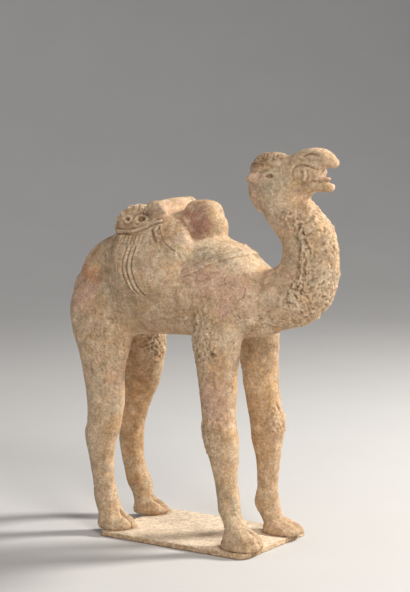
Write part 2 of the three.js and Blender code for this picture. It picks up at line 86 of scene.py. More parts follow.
LEGS = {
    "near_hind": [
        (-200, -34, 520, 34, 30), (-206, -46, 482, 60, 46), (-205, -54, 442, 68, 49),
        (-197, -61, 400, 65, 47), (-190, -67, 360, 53, 42), (-188, -71, 320, 43, 36),
        (-181, -74, 262, 38, 33), (-184, -75, 222, 35, 30), (-190, -75, 200, 35.5, 29),
        (-193, -75, 180, 31.5, 27), (-191, -75, 142, 24, 23), (-186, -75, 101, 21.5, 20),
        (-180, -75, 71, 24.5, 21), (-175, -75, 53, 24.5, 22), (-167, -75, 38, 26, 25),
        (-158, -75, 29, 35, 31), (-156, -75, 20, 38, 33), (-156, -75, 14, 37, 32)],
    "far_hind": [
        (-200, 34, 520, 34, 30), (-206, 46, 482, 60, 46), (-205, 54, 438, 66, 49),
        (-197, 61, 400, 54, 46), (-194, 66, 365, 46, 42), (-195, 71, 318, 43, 36),
        (-202, 73, 281, 39, 33), (-216, 74, 238, 32, 29), (-227, 75, 196, 26, 26),
        (-229, 75, 153, 25, 25), (-222, 73, 112, 23, 21), (-206, 70, 73, 27, 23),
        (-200, 67, 62, 25, 22), (-193, 65, 49, 20.5, 21), (-187, 64, 39, 21, 23),
        (-176, 63, 30, 31, 28), (-171, 63, 21, 37, 32), (-171, 63, 14, 36, 31)],
    "near_fore": [
        (58, -42, 498, 30, 34), (64, -52, 462, 47, 44), (70, -58, 425, 50, 43),
        (75, -64, 392, 47, 40), (77, -66, 355, 41, 37), (79, -67, 318, 37, 34),
        (80, -67, 285, 34.5, 32), (82, -67, 247, 32, 30), (86, -67, 209, 34, 31),
        (94, -68, 172, 27, 26), (99, -70, 134, 22, 21), (107, -72, 97, 21.5, 20),
        (110, -73, 77, 21.5, 20), (118, -75, 62, 20, 20), (128, -76, 47, 23, 24),
        (136, -76, 36, 34, 30), (139, -76, 24, 40, 34), (139, -76, 14, 39, 34)],
    "far_fore": [
        (58, 42, 498, 30, 34), (66, 52, 462, 47, 44), (78, 57, 425, 50, 43),
        (86, 63, 380, 42, 39), (89, 65, 340, 36, 35), (92, 66, 305, 35, 32),
        (98, 66, 267, 33.5, 31), (106, 66, 229, 33.5, 31), (106, 67, 191, 30, 28),
        (108, 67, 151, 23, 22), (107, 68, 102, 20.5, 20), (105, 69, 68, 25, 22),
        (111, 70, 50, 23, 22), (121, 70, 37, 23, 24), (136, 70, 29, 35, 30),
        (141, 70, 20, 40, 34), (141, 70, 14, 39, 34)],
}
ROLL = dict(start_cap=12, end_cap=10, stations=[
    (-72, -60, 643, 14, 14), (-74, -44, 643, 12, 12), (-74, -15, 645, 13.5, 13.5),
    (-71, 15, 647, 14, 14), (-65, 50, 648, 14, 14)])
BOULDERS = {
    "front_hump": ((5, -4, 611), (40, 30, 47), 3),
    "front_hump_step": ((31, 0, 604), (21, 24, 28), 2.4),
    "rear_hump": ((-147, 0, 590), (48, 40, 56), 2.2),
    "seat": ((-64, 0, 592), (64, 60, 46), 2.8),
    "roll_knot": ((-65, -64, 640), (22, 15, 17), 2),
}
# Places on a bag are along X and up the bag from its origin
BAG_ORIGIN = (-64, -74, 560)
BAG_LEAN = math.radians(24)
FAR_BAG_DROP = 8
BAG = dict(middle=(-5, -7), half=(88, 84), corner=2.4, outward=36, inward=30, sag=0.25, flatness=3.2)
MASK_HEAD = dict(middle=(-53, 53), half=(46, 41), corner=2, outward=28, inward=28, sag=0,
                 flatness=2.4)
CLOTH_HEM = [(138, 566), (106, 556), (60, 537), (10, 512), (-70, 492), (-140, 500), (-182, 560)]


# Shapes

def curve_points(points, along):
    """Smooth curve through the points, at each share of the way from 0 to 1."""
    points = np.asarray(points, float)
    before = 2 * points[0] - points[1]
    after = 2 * points[-1] - points[-2]
    padded = np.vstack([before, points, after])
    place = np.clip(along, 0, 1) * (len(points) - 1)
    first = np.minimum(place.astype(int), len(points) - 2)
    t = (place - first)[:, None]
    p0, p1, p2, p3 = (padded[first + k] for k in range(4))
    m1, m2 = (p2 - p0) / 2, (p3 - p1) / 2
    return ((2 * t**3 - 3 * t**2 + 1) * p1 + (t**3 - 2 * t**2 + t) * m1
            + (3 * t**2 - 2 * t**3) * p2 + (t**3 - t**2) * m2)


def squared(angle, power):
    """Ellipse that can be squared off: power 2 is round, more is boxier."""
    def soften(value):
        return np.sign(value) * np.abs(value) ** (2 / power)
    return soften(np.cos(angle)), soften(np.sin(angle))


def ball_grid(rows, sides, place):
    """Closed mesh of rows by sides, each point where place(row share, angle) says."""
    row, side = np.meshgrid(np.arange(rows + 1), np.arange(sides), indexing="ij")
    points = place(row.ravel(), side.ravel() * 2 * np.pi / sides)
    faces = []
    index = np.arange((rows + 1) * sides).reshape(rows + 1, sides)
    index[0], index[-1] = index[0, 0], index[-1, 0]
    a, b = index[:-1], index[1:]
    quads = np.stack([a, b, np.roll(b, -1, 1), np.roll(a, -1, 1)], -1).reshape(-1, 4)
    for quad in quads.tolist():
        corners = list(dict.fromkeys(quad))
        if len(corners) > 2:
            faces.append(corners)
    return points, faces


def limb(stations, start_cap, end_cap, egg=0, power=2.15, upright=False, crossways=False,
         sides=64, rows=0, cap_rows=8):
    """Skin of a limb, with the share of its length and the angle round it of each point."""
    stations = np.asarray(stations, float)
    rows = rows or 8 * len(stations)
    total = rows + 2 * cap_rows
    sideways = np.array([1.0, 0, 0] if crossways else [0, 1.0, 0])

    def place(row, angle):
        along = np.clip((row - cap_rows) / rows, 0, 1)
        centre = curve_points(stations[:, :3], along)
        depth, width = curve_points(stations[:, 3:], along).T
        heading = (curve_points(stations[:, :3], np.minimum(along + 1e-3, 1))
                   - curve_points(stations[:, :3], np.maximum(along - 1e-3, 0)))
        if upright:
            heading[:] = (0, 0, -1)
        elif crossways:
            heading[:] = (0, 1, 0)
        heading[:, 1] *= crossways
        heading /= np.linalg.norm(heading, axis=1, keepdims=True)
        up = np.cross(heading, sideways)
        start_turn = np.minimum(row / cap_rows, 1) * np.pi / 2
        end_turn = np.minimum((total - row) / cap_rows, 1) * np.pi / 2
        shift = end_cap * np.cos(end_turn) - start_cap * np.cos(start_turn)
        scale = np.sin(start_turn) * np.sin(end_turn)
        across, upward = squared(angle, power)
        width = width * (1 - egg * upward) * scale
        return (centre + heading * shift[:, None]
                + sideways * (across * width)[:, None] + up * (upward * depth * scale)[:, None])

    points, faces = ball_grid(total, sides, place)
    share = np.clip((np.repeat(np.arange(total + 1), sides) - cap_rows) / rows, 0, 1)
    turn = np.tile(np.arange(sides) * 2 * np.pi / sides, total + 1)
    return points, faces, share, turn


def boulder(centre, size, power, sides=64):
    rows = sides // 2

    def place(row, angle):
        up, out = squared(row / rows * np.pi, power)
        across, ahead = squared(angle, power)
        return np.asarray(centre) + np.stack([ahead * out, across * out, up], 1) * size

    return ball_grid(rows, sides, place)


def bag_to_world(side, along, up, out):
    x, y, z = BAG_ORIGIN
    level = y + up * math.sin(BAG_LEAN) - out * math.cos(BAG_LEAN)
    height = z + up * math.cos(BAG_LEAN) + out * math.sin(BAG_LEAN)
    return np.stack([x + along, -side * level, height - FAR_BAG_DROP * (side > 0)], -1)


def world_to_bag(side, points):
    """Along X, up the bag and out of its face, from the bag's origin."""
    x, y, z = BAG_ORIGIN
    level = -side * points[:, 1] - y
    height = points[:, 2] - z + FAR_BAG_DROP * (side > 0)
    up = level * math.sin(BAG_LEAN) + height * math.cos(BAG_LEAN)
    out = height * math.sin(BAG_LEAN) - level * math.cos(BAG_LEAN)
    return points[:, 0] - x, up, out


def mound(side, middle, half, corner, outward, inward, sag, flatness, rows=72, sides=144):
    """The bag, or the mask's forehead that rises above it: flat over its middle."""
    def place(row, angle):
        turn = row / rows * np.pi
        radius = np.sin(turn)
        cosine, sine = squared(angle, corner)
        up = half[1] * sine * radius
        fullness = np.clip(1 - radius**flatness, 0, 1) ** 0.6
        swell = outward * fullness * (1 - sag * up / half[1])
        out = np.where(turn < np.pi / 2, swell, inward * np.cos(turn))
        return bag_to_world(side, middle[0] + half[0] * cosine * radius, middle[1] + up, out)

    return ball_grid(rows, sides, place)


# Noise

def lattice_random(x, y, z, seed):
    """A number from 0 to 1 for each whole-number place."""
    mask = 0xFFFFFFFF
    value = ((x * 73856093) ^ (y * 19349663) ^ (z * 83492791) ^ (seed * 668265263)) & mask
    value = ((value ^ (value >> 16)) * 0x45D9F3B) & mask
    return (value ^ (value >> 15)) / mask


def smooth_noise(points, size, seed):
    """Soft noise from -1 to 1 whose lumps are about `size` across."""
    place = points.T / size + seed * 7.31
    cell = np.floor(place).astype(np.int64)
    t = place - cell
    t = t * t * (3 - 2 * t)
    total = np.zeros(len(points))
    for corner in np.ndindex(2, 2, 2):
        x, y, z = (t[k] if corner[k] else 1 - t[k] for k in range(3))
        total += x * y * z * lattice_random(*(cell[k] + corner[k] for k in range(3)), seed)
    return total * 2 - 1


TURNED = np.array([[0.36, 0.48, -0.8], [-0.8, 0.6, 0.0], [0.48, 0.64, 0.6]])


def rough_noise(points, size, seed, octaves=3):
    """Layers of soft noise, each half as big as the last."""
    total = np.zeros(len(points))
    strength = 1.0
    for layer in range(octaves):
        total += strength * smooth_noise(points, size / 2**layer, seed + layer)
        strength *= 0.55
        points = points @ TURNED
    return total / 1.8


def cell_noise(points, size, seed):
    """Distance to the nearest of a scatter of points `size` apart, in cells."""
    place = points.T / size
    base = np.floor(place).astype(np.int64)
    nearest = np.full(len(points), 9.0)
    for step in np.ndindex(3, 3, 3):
        cell = [base[k] + step[k] - 1 for k in range(3)]
        gaps = [cell[k] + lattice_random(*cell, seed + k) - place[k] for k in range(3)]
        nearest = np.minimum(nearest, gaps[0] ** 2 + gaps[1] ** 2 + gaps[2] ** 2)
    return np.sqrt(nearest)


def smoothstep(value, low, high):
    t = np.clip((value - low) / (high - low), 0, 1)
    return t * t * (3 - 2 * t)


# Mesh handling

def mesh_object(name, parts):
    """One mesh object in millimetres from several closed (points, faces) pairs."""
    points, faces, start = [], [], 0
    for part_points, part_faces in parts:
        points.append(part_points)
        faces += [[i + start for i in face] for face in part_faces]
        start += len(part_points)
    mesh = bpy.data.meshes.new(name)
    mesh.from_pydata(np.vstack(points), [], faces)
    mesh.validate()
    obj = bpy.data.objects.new(name, mesh)
    bpy.context.scene.collection.objects.link(obj)
    return obj


def apply_modifier(obj, kind, **settings):
    """Replaces the object's mesh by what one modifier makes of it."""
    modifier = obj.modifiers.new(kind, kind)
    for key, value in settings.items():
        setattr(modifier, key, value)
    bpy.context.view_layer.update()
    evaluated = obj.evaluated_get(bpy.context.evaluated_depsgraph_get())
    result = bpy.data.meshes.new_from_object(evaluated)
    obj.modifiers.clear()
    old = obj.data
    obj.data = result
    bpy.data.meshes.remove(old)


def get_points(mesh):
    points = np.empty(len(mesh.vertices) * 3)
    mesh.vertices.foreach_get("co", points)
    return points.reshape(-1, 3)


def set_points(mesh, points):
    mesh.vertices.foreach_set("co", np.ascontiguousarray(points, np.float32).ravel())
    mesh.update()


def get_normals(mesh):
    normals = np.empty(len(mesh.vertices) * 3)
    mesh.vertices.foreach_get("normal", normals)
    return normals.reshape(-1, 3)


class Neighbours:
    """Averages over each vertex's neighbours."""

    def __init__(self, mesh):
        edges = np.empty(len(mesh.edges) * 2, np.int64)
        mesh.edges.foreach_get("vertices", edges)
        edges = edges.reshape(-1, 2)
        self.here = np.concatenate([edges[:, 0], edges[:, 1]])
        self.there = np.concatenate([edges[:, 1], edges[:, 0]])
        self.size = len(mesh.vertices)
        self.count = np.maximum(np.bincount(self.here, minlength=self.size), 1)

    def mean(self, values):
        if values.ndim == 1:
            return np.bincount(self.here, values[self.there], self.size) / self.count
        return np.stack([self.mean(values[:, k]) for k in range(values.shape[1])], 1)


def fill_creases(obj, rounds, weight=1.0, smoothing=0.0):
    """Rounds the inner corners, as wet clay is smeared into a joint, and keeps the outer ones."""
    mesh = obj.data
    around = Neighbours(mesh)
    points = get_points(mesh)
    for step in range(rounds):
        if step % 5 == 0:
            set_points(mesh, points)
            normals = get_normals(mesh)
        pull = around.mean(points) - points
        hollow = np.clip(np.einsum("ij,ij->i", pull, normals), 0, None) * weight
        points = points + 0.8 * hollow[:, None] * normals + smoothing * pull
    set_points(mesh, points)


# Camel

def camel_parts():
    parts = {}

    def add(name, made):
        parts[name] = made

    add("torso", limb(**TORSO, sides=96))
    add("neck", limb(**NECK, sides=80))
    add("skull", limb(**SKULL))
    add("upper_lip", limb(**UPPER_LIP))
    add("lower_lip", limb(**LOWER_LIP))
    add("tongue", limb(**TONGUE))
    add("nape", limb(**NAPE))
    add("crown_tuft", limb(**CROWN_TUFT))
    add("tail", limb(**TAIL))
    for side in (-1, 1):
        ear = [(x, side * y, z, depth, width) for x, y, z, depth, width in EAR["stations"]]
        add(f"ear_{side}", limb(ear, EAR["start_cap"], EAR["end_cap"]))
    for name, stations in LEGS.items():
        add(name, limb(stations, 12, 8, upright=True))
    add("roll", limb(**ROLL, crossways=True))
    for name, (centre, size, power) in BOULDERS.items():
        add(name, boulder(centre, size, power))
    add("near_bag", mound(-1, **BAG))
    add("far_bag", mound(1, **BAG))
    add("mask_head", mound(-1, **MASK_HEAD))
    return parts


def blended_masses(parts):
    """The big forms run together with wide soft joints, drawn in by a millimetre."""
    small = ("upper_lip", "lower_lip", "tongue", "ear_-1", "ear_1", "tail")
    masses = mesh_object("masses", [parts[name][:2] for name in parts if name not in small])
    apply_modifier(masses, "REMESH", mode="VOXEL", voxel_size=BLEND_VOXEL)
    points = get_points(masses.data)
    x, z = points[:, 0], points[:, 2]
    weight = smoothstep(z, 300, 380) * (1 - 0.6 * smoothstep(z, 640, 665))
    loaded = smoothstep(z, 470, 500) * (1 - smoothstep(x, 60, 90))
    flush = np.maximum(1 - smoothstep(x, -130, -95), 0.35 * (1 - smoothstep(z, 500, 540)))
    weight *= 1 - loaded * (1 - np.maximum(flush, 0.22))
    fill_creases(masses, 45, weight, smoothing=0.02)
    points = get_points(masses.data) - 1.0 * get_normals(masses.data)
    set_points(masses.data, points)
    faces = [list(face.vertices) for face in masses.data.polygons]
    bpy.data.objects.remove(masses)
    return points, faces


class Skin:
    """The camel's skin while its relief is being worked: points, normals and parts."""

    CELL = 16

    def __init__(self, obj, parts):
        self.points = get_points(obj.data)
        self.normals = get_normals(obj.data)
        self.around = Neighbours(obj.data)
        self.height = np.zeros(len(self.points))
        self.ragged = rough_noise(self.points, 17, 3)
        self.grain = rough_noise(self.points, 8, 61)
        self.names = list(parts)
        tree_size = sum(len(part[0]) for part in parts.values())
        tree = kdtree.KDTree(tree_size)
        owner, share, turn = [], [], []
        for number, part in enumerate(parts.values()):
            for point in part[0]:
                tree.insert(point, len(owner))
                owner.append(number)
            share += list(part[2]) if len(part) > 2 else [0.0] * len(part[0])
            turn += list(part[3]) if len(part) > 2 else [0.0] * len(part[0])
        tree.balance()
        found = np.fromiter((tree.find(p)[1] for p in self.points), np.int64, len(self.points))
        self.owner = np.array(owner)[found]
        self.share = np.array(share)[found]
        self.turn = np.array(turn)[found]
        self.cells = {}
        places = np.floor(self.points / self.CELL).astype(int)
        order = np.lexsort(places.T)
        starts = np.flatnonzero(np.any(np.diff(places[order], axis=0, prepend=-9999), axis=1))
        for group in np.split(order, starts[1:]):
            self.cells[tuple(places[group[0]])] = group

    def on(self, *names, soft=0):
        """1 on the named parts, fading over about `soft` millimetres at their edges."""
        mask = np.isin(self.owner, [self.names.index(name) for name in names]).astype(float)
        for _ in range(round((soft / VOXEL) ** 2)):
            mask = self.around.mean(mask)
        return mask

    def scatter(self, weight, spacing, seed):
        """Vertices picked at random where weight is high, at least `spacing` apart."""
        rng = np.random.default_rng(seed)
        candidates = np.flatnonzero(weight > rng.random(len(weight)))
        rng.shuffle(candidates)
        chosen = []
        places = np.empty((0, 3))
        for index in candidates[:6000]:
            point = self.points[index]
            if len(chosen) == 0 or np.min(np.sum((places - point) ** 2, 1)) > spacing**2:
                chosen.append(index)
                places = np.vstack([places, point])
        return chosen

    def stamp(self, index, reach, forward, shape):
        """Adds shape(u, v) round a vertex, u along `forward` and v across it on the skin."""
        centre, normal = self.points[index], self.normals[index]
        low, high = (np.floor((centre + d) / self.CELL).astype(int) for d in (-reach, reach))
        groups = [self.cells.get((x, y, z)) for x in range(low[0], high[0] + 1)
                  for y in range(low[1], high[1] + 1) for z in range(low[2], high[2] + 1)]
        near = np.concatenate([group for group in groups if group is not None])
        near = near[self.normals[near] @ normal > 0.2]
        ahead = forward - normal * (forward @ normal)
        ahead /= np.linalg.norm(ahead) + 1e-9
        across = np.cross(normal, ahead)
        offset = self.points[near] - centre
        self.height[near] += shape(offset @ ahead, offset @ across)


def line_distance(a, b, line, steps=24):
    """Distance on a flat face from each (a, b) to a smooth line through the points."""
    bends = curve_points(line, np.linspace(0, 1, steps))
    best = np.full(len(a), 1e9)
    for (a0, b0), (a1, b1) in zip(bends[:-1], bends[1:]):
        da, db = a1 - a0, b1 - b0
        t = np.clip(((a - a0) * da + (b - b0) * db) / (da * da + db * db + 1e-9), 0, 1)
        best = np.minimum(best, np.hypot(a - a0 - t * da, b - b0 - t * db))
    return best


def rounded(distance, radius):
    """Profile of a bar of that radius lying half sunk in the surface."""
    return np.sqrt(np.clip(1 - (distance / radius) ** 2, 0, 1))


def inside_outline(a, b, outline):
    """Signed distance to a closed outline, positive inside."""
    inside = np.zeros(len(a), bool)
    for (a0, b0), (a1, b1) in zip(outline, outline[1:] + outline[:1]):
        crosses = (b0 > b) != (b1 > b)
        with np.errstate(divide="ignore", invalid="ignore"):
            edge = (a1 - a0) * (b - b0) / (b1 - b0) + a0
        inside ^= crosses & (a < edge)
    distance = line_distance(a, b, outline + outline[:1], steps=len(outline) * 8)
    return np.where(inside, distance, -distance)


def curl(size, height, turns, hand, phase):
    """A snail-shaped lock of hair."""
    def shape(u, v):
        radius = np.hypot(u, v) / size
        angle = np.arctan2(v, u)
        ridge = 0.5 + 0.5 * np.cos(hand * angle + 2 * np.pi * turns * radius + phase)
        return height * ridge * np.clip(1 - radius**2, 0, 1)
    return shape


def strand(length, width, height, bend, phase):
    """A wavy ridge along u, or a cut where height is negative."""
    def shape(u, v):
        sway = bend * np.sin(2 * np.pi * u / length + phase)
        ends = np.clip(1 - (2 * u / length) ** 4, 0, 1)
        return height * ends * np.exp(-((v - sway) / width) ** 2)
    return shape


def carve_mane(skin, rng):
    """Front of the neck from the throat down round its bend, ragged along its back edge."""
    p = skin.points
    front = -np.sin(skin.turn)
    edge = front + 0.2 * skin.ragged
    run = smoothstep(skin.share, 0.14, 0.26) * (1 - smoothstep(skin.share, 0.77, 0.82))
    mane = skin.on("neck", soft=3) * smoothstep(edge, -0.02, 0.1) * run
    band = mane * np.exp(-((edge - 0.2) / 0.2) ** 2)
    low = mane * (1 - smoothstep(skin.share, 0.3, 0.42))
    skin.height += mane * 1.0 + band * 1.6
    near = np.flatnonzero(mane > 0.01)
    here, heavy = mane[near], band[near]
    long = p[near] * (1, 1, 0.6) + 3 * np.stack([skin.grain[near], skin.ragged[near]] * 2, 1)[:, :3]
    lumps = smoothstep(0.75 - cell_noise(long, 12, 31), 0, 0.35)
    small = smoothstep(0.7 - cell_noise(p[near], 6, 35), 0, 0.4)
    pits = smoothstep(rough_noise(p[near], 10, 36), 0.1, 0.4)
    shreds = np.abs(rough_noise(p[near] * (1, 1, 0.5), 7, 37))
    skin.height[near] += here * (1.1 * lumps + 0.9 * small - 1.0 + 1.8 * (0.25 - shreds))
    skin.height[near] += heavy * (3.0 * lumps + 1.4 * small - 1.6 - 3.4 * pits)
    for index in skin.scatter(np.clip(mane - 0.4 * band, 0, 1), 8.5, 5):
        forward = np.array([rng.normal(0, 0.4), rng.normal(0, 0.4), -1.0])
        size = rng.uniform(5, 9)
        lock = curl(size, rng.uniform(0.8, 1.7), rng.uniform(0.4, 0.9), rng.choice((-1, 1)),
                    rng.uniform(0, 6.28))
        skin.stamp(index, size, forward, lock)
    for index in skin.scatter(np.maximum(0.5 * band, low), 8, 6):
        forward = np.array([0.9 * (skin.share[index] < 0.35), 0, -1.0]) + rng.normal(0, 0.35, 3)
        lock = strand(rng.uniform(14, 26), 2.4, rng.uniform(0.8, 2.0), 2.6, rng.uniform(0, 6.28))
        skin.stamp(index, 14, forward, lock)


# Shaggy patches: part, centre, reach, length of a lock and how far it stands out
HAIR_PATCHES = [
    ("near_fore", (60, -112, 398), (46, 60, 58), 12, 2.4),
    ("near_fore", (80, -98, 226), (34, 40, 36), 10, 2.2),
    ("far_fore", (132, 60, 232), (22, 50, 30), 8, 2.4),
    ("far_fore", (80, 110, 395), (40, 50, 50), 11, 1.8),
    ("far_hind", (-148, 60, 378), (26, 60, 50), 9, 3.6),
    ("far_hind", (-205, 110, 380), (44, 50, 60), 11, 1.6),
]
# Cut strokes: parts, centre, reach, gap between them, depth and the way they run
STROKES = [
    (("near_hind", "torso"), (-160, -100, 370), (40, 60, 80), 6, 1.2, (0.5, 0, -1)),
    (("neck", "torso"), (165, -40, 425), (64, 70, 36), 5.5, 1.3, (1, 0, -0.4)),
    (("near_fore",), (88, -95, 300), (30, 50, 70), 9, 0.7, (0.1, 0, -1)),
    (("near_fore", "torso"), (20, -100, 450), (40, 60, 46), 10, 0.8, (-0.6, 0, -1)),
    (("near_fore", "torso"), (60, -112, 398), (46, 60, 58), 7, 1.4, (-0.4, 0, -1)),
]
PIT = (88, -101, 375)


def carve_hair(skin):
    p, rng = skin.points, np.random.default_rng(11)
    carve_mane(skin, rng)
    for name, centre, size, lock, height in HAIR_PATCHES:
        away = np.linalg.norm((p - centre) / size, axis=1)
        weight = skin.on(name, "torso", soft=3) * smoothstep(1 - away + 0.5 * skin.ragged, 0, 0.4)
        near = np.flatnonzero(weight > 0.01)
        clumps = smoothstep(0.7 - cell_noise(p[near] * (1, 1, 0.6), 11, 15), 0, 0.4)
        frayed = 0.3 - np.abs(rough_noise(p[near], 8, 14))
        skin.height[near] += weight[near] * height * (0.5 * clumps + 1.2 * frayed)
        for index in skin.scatter(weight, lock * 0.9, 7):
            forward = np.array([rng.normal(0, 0.9), 0, -1.0])
            strength = height * rng.uniform(0.3, 0.8)
            made = strand(lock * 2, 2.0, strength, 2.4, rng.uniform(0, 6.28))
            if rng.random() < 0.3:
                made = curl(lock * 0.8, strength, rng.uniform(0.5, 1.0), rng.choice((-1, 1)),
                            rng.uniform(0, 6.28))
            skin.stamp(index, lock * 1.2, forward, made)
    for names, centre, size, gap, depth, forward in STROKES:
        away = np.linalg.norm((p - centre) / size, axis=1)
        weight = skin.on(*names) * smoothstep(1 - away + 0.4 * skin.ragged, 0, 0.4)
        for index in skin.scatter(weight, gap, 9):
            lean = np.array(forward) + rng.normal(0, 0.45, 3)
            cut_depth = depth * rng.uniform(0.5, 1.2)
            skin.stamp(index, 9, lean, strand(14, 1.2, -cut_depth, 1.4, rng.uniform(0, 6.28)))
    pit = np.linalg.norm(p - PIT, axis=1)
    skin.height -= 5 * np.exp(-(pit / 5) ** 2)

    # Crown: strokes that run up and back
    crown = skin.on("crown_tuft") * smoothstep(p[:, 2], 720, 728)
    for index in skin.scatter(crown, 3.6, 12):
        lean = np.array([-1.0, rng.normal(0, 0.3), 0.7])
        made = strand(12, 1.3, -rng.uniform(0.8, 1.9), 1.2, rng.uniform(0, 6.28))
        skin.stamp(index, 7, lean, made)

    # Ragged fringe behind the cheek
    fringe = skin.on("nape", "neck") * (1 - smoothstep(p[:, 0], 118, 140)) * (p[:, 2] > 640)
    near = np.flatnonzero(fringe > 0.01)
    skin.height[near] += fringe[near] * (1.0 + 3.2 * rough_noise(p[near], 8, 51))


LEFT_EYE, RIGHT_EYE = (-57, 52), (-27, 55)
MASK_CURLS = [((-93, 43), 7.5), ((-88, 56), 8), ((-79, 69), 8.5), ((-66, 79), 9.5),
              ((-50, 83), 9), ((-37, 81), 7.5), ((-17, 71), 6)]
LIP = [(-93, 36), (-71, 30), (-41, 28), (-24, 32), (-10, 39), (0, 47), (16, 54)]
UPPER_BAND = [(-38, 39), (-22, 42), (-9, 49), (2, 56)]
TOOTH_TOP = [(-74, 26), (-48, 22), (-28, 20), (-8, 24)]
TOOTH_ROOT = [(-66, 4), (-49, 1), (-35, 0), (-17, 1), (-5, 5)]
SKEIN_CUTS = [
    [(-38, -5), (-38, -30), (-36, -50), (-29, -67), (-20, -82), (-10, -93)],
    [(-28, -5), (-28, -30), (-24, -50), (-18, -66), (-10, -82), (-1, -92)],
    [(-17, -5), (-17, -30), (-12, -51), (-6, -66), (2, -82), (9, -90)],
]
# Drawn folds beside the mask: line, depth, width
DRAWN_FOLDS = [
    ([(18, 42), (23, 34), (30, 24), (40, 12), (53, 1), (66, -6)], 1.5, 1.3),
    ([(6, 33), (11, 26), (17, 18), (24, 9)], 2.6, 2.6),
    ([(19, 40), (20, 32), (26, 24)], 1.8, 2.2),
    ([(-95, 36), (-100, 28), (-101, 16)], 2.4, 2.0),
    ([(-50, -8), (-51, -30), (-49, -50), (-42, -68)], 0.8, 1.3),
]


def carve_bags(skin):
    for side, name in ((-1, "near_bag"), (1, "far_bag")):
        along, up, out = world_to_bag(side, skin.points)
        face = skin.on(name, soft=3) * smoothstep(out, -2, 4)
        picked = np.flatnonzero(face > 0.01)
        a, b = along[picked], up[picked]
        height = np.zeros(len(picked))
        for cut in SKEIN_CUTS:
            gap = line_distance(a, b, cut)
            height += 0.9 * np.exp(-((gap - 4) / 2.5) ** 2) - 2.6 * np.exp(-(gap / 1.4) ** 2)
        if side < 0:
            for fold, depth, width in DRAWN_FOLDS:
                gap = line_distance(a + skin.ragged[picked], b, fold)
                height += 0.6 * depth * np.exp(-((gap - 2 * width) / (1.4 * width)) ** 2)
                height -= depth * np.exp(-(gap / width) ** 2)
        skin.height[picked] += face[picked] * height

    # The mask spreads from the near bag over the forehead and the rear hump's side
    along, up, out = world_to_bag(-1, skin.points)
    load = skin.on("near_bag", "mask_head", "rear_hump", "seat", "roll_knot", "torso", soft=1.5)
    face = load * (skin.points[:, 1] < -15) * smoothstep(out, -14, -4)
    face *= (along > -112) * (along < 30) * (up > -12) * (up < 104)
    picked = np.flatnonzero(face > 0.01)
    sway = 0.8 * skin.ragged[picked]
    skin.height[picked] += face[picked] * mask_relief(along[picked] + sway, up[picked] + sway)


def eye_socket(a, b, centre):
    """Distance from an eye's middle, and the angle round it. Eyes are wider than high."""
    across, upward = (a - centre[0]) / 1.25, b - centre[1]
    return np.hypot(across, upward), np.arctan2(upward, across)


def mask_relief(a, b):
    """Beast mask: eyes, lip, teeth and a brow of curls."""
    left, angle = eye_socket(a, b, LEFT_EYE)
    volute = np.abs(left - 6.5 - 0.75 * angle)
    height = 3.6 * rounded(volute, 2.8) * (left < 12) - 3.0 * np.exp(-(left / 3.4) ** 2)
    right, _ = eye_socket(a, b, RIGHT_EYE)
    height += 3.0 * rounded(np.abs(right - 9), 3) - 3.6 * np.exp(-(right / 5.5) ** 4)
    nose = np.hypot((a + 42) / 7, (b - 44) / 10)
    height += 2.4 * np.clip(1 - nose**2, 0, 1)
    lip = line_distance(a, b, LIP)
    height += 3.2 * rounded(lip, 3.6) - 0.8 * np.exp(-((lip - 5) / 1.6) ** 2)
    height += 2.4 * rounded(line_distance(a, b, UPPER_BAND), 3)
    for (x, y), radius in MASK_CURLS:
        gap = np.hypot(a - x, b - y)
        turn = np.arctan2(b - y, a - x)
        spiral = 0.5 + 0.5 * np.cos(turn + 6 * gap / radius)
        height += (1.6 + 3.4 * spiral) * np.clip(1 - (gap / radius) ** 2, 0, 1) ** 0.7
    top = np.interp(a, *zip(*TOOTH_TOP))
    root = np.interp(a, *zip(*TOOTH_ROOT))
    row = smoothstep(b, root - 1, root + 1.5) * (1 - smoothstep(b, top - 2.5, top - 1))
    row *= (a > -70) * (a < -7)
    teeth = np.abs(np.sin(np.pi * (a + 70) / 9)) ** 0.6
    height += row * (2.6 * teeth - 1.7)
    for line in (TOOTH_TOP, TOOTH_ROOT):
        height -= 1.4 * np.exp(-(line_distance(a, b, line) / 1.2) ** 2)
    return height


def carve_cloth(skin):
    """Saddle cloth: a step at its hem, with thin ragged border ridges along the front."""
    p = skin.points
    on_back = skin.on("torso", "near_fore", "far_fore", "near_hind", "far_hind", "neck", soft=3)
    outline = [(138, 740), *CLOTH_HEM, (-182, 740)]
    cloth = inside_outline(p[:, 0], p[:, 2] + 3 * skin.ragged, outline)
    step = smoothstep(cloth, -0.9, 0.9) * (1 - 0.8 * smoothstep(cloth, 10, 40))
    skin.height += on_back * 3.0 * step
    x, z = p[:, 0], p[:, 2] + 2.5 * skin.ragged + 1.2 * skin.grain
    side = on_back * (cloth > -1) * (np.abs(skin.normals[:, 1]) > 0.15)
    broken = smoothstep(skin.grain + 0.4 * skin.ragged, -0.35, 0.1)
    border = line_distance(x, z, [(6, 534), (20, 550), (44, 559), (75, 570), (104, 574), (128, 572)])
    skin.height += side * broken * 2.0 * np.exp(-(border / 1.8) ** 2)
    second = line_distance(x, z, [(12, 524), (30, 534), (54, 546), (80, 558), (106, 567)])
    skin.height -= side * 1.2 * np.exp(-(second / 1.3) ** 2)
    hollow = smoothstep(border, 1, 9) * (1 - smoothstep(border, 9, 20))
    skin.height -= side * 0.8 * hollow


CRACKS = [
    [(79, 476), (92, 479), (104, 476), (118, 479), (129, 476)],
    [(104, 500), (101, 524), (108, 542)],
    [(79, 476), (66, 483), (52, 478)],
    [(129, 476), (138, 484), (138, 496)],
    [(60, 520), (76, 526), (84, 528)],
]


